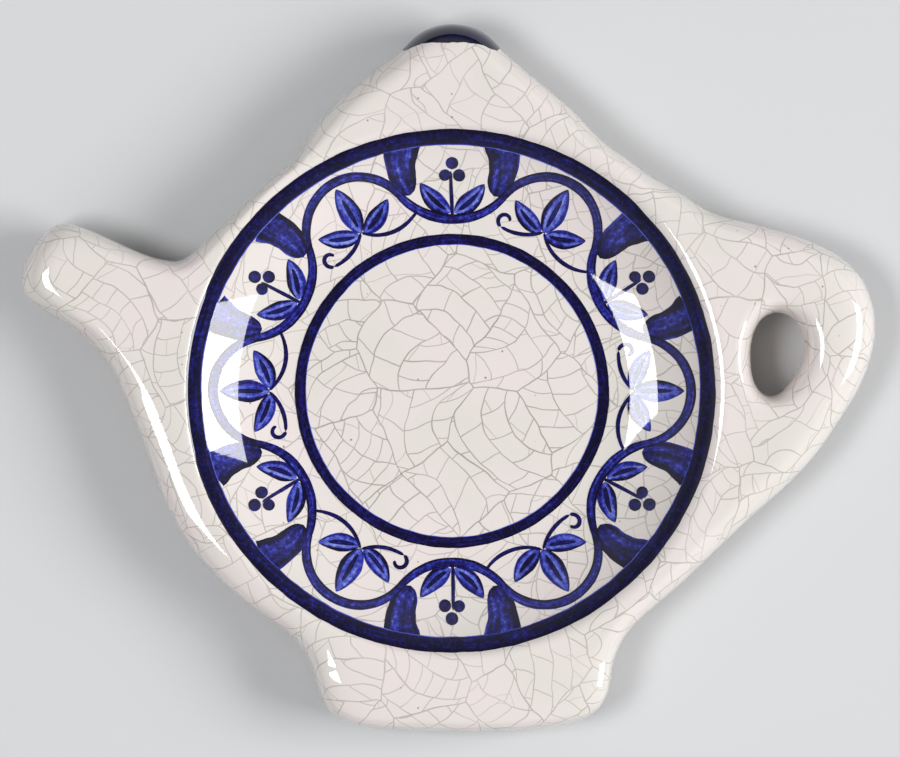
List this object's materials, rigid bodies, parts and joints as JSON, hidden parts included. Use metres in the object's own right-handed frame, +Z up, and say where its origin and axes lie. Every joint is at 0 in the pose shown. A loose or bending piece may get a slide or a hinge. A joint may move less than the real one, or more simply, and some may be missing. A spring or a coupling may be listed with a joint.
{
  "type": "tea bag rest",
  "caption": "Flat glazed ceramic tea bag rest shaped as a teapot, with a shallow round dish, a painted blue vine border and a finger hole through its handle.",
  "frame": {"origin": "on the dish axis, at the level of the table that the foot ring stands on", "axes": "+X towards the handle, -X towards the spout, +Y towards the knob, +Z up out of the dish"},
  "size_m": [0.127, 0.1053, 0.0121],
  "materials": {
    "crackle_glaze": "clear gloss glaze, finely crackled, over ivory ware",
    "bare_clay": "wiped, unglazed",
    "dark_cobalt": "dense cobalt under gloss glaze",
    "blue_stroke": "brushed cobalt under gloss glaze",
    "pale_wash": "thin cobalt wash under gloss glaze"
  },
  "bodies": {
    "root": {"body": "crackle_glaze", "foot_ring": "bare_clay", "knob_tip": "dark_cobalt", "outer_line": "dark_cobalt", "inner_line": "dark_cobalt", "corner_wash": "dark_cobalt", "vine_stem": "blue_stroke", "vine_leaves": "pale_wash", "leaf_veins": "blue_stroke", "vine_curls": "blue_stroke", "vine_berries": "blue_stroke"}
  },
  "joints": []
}
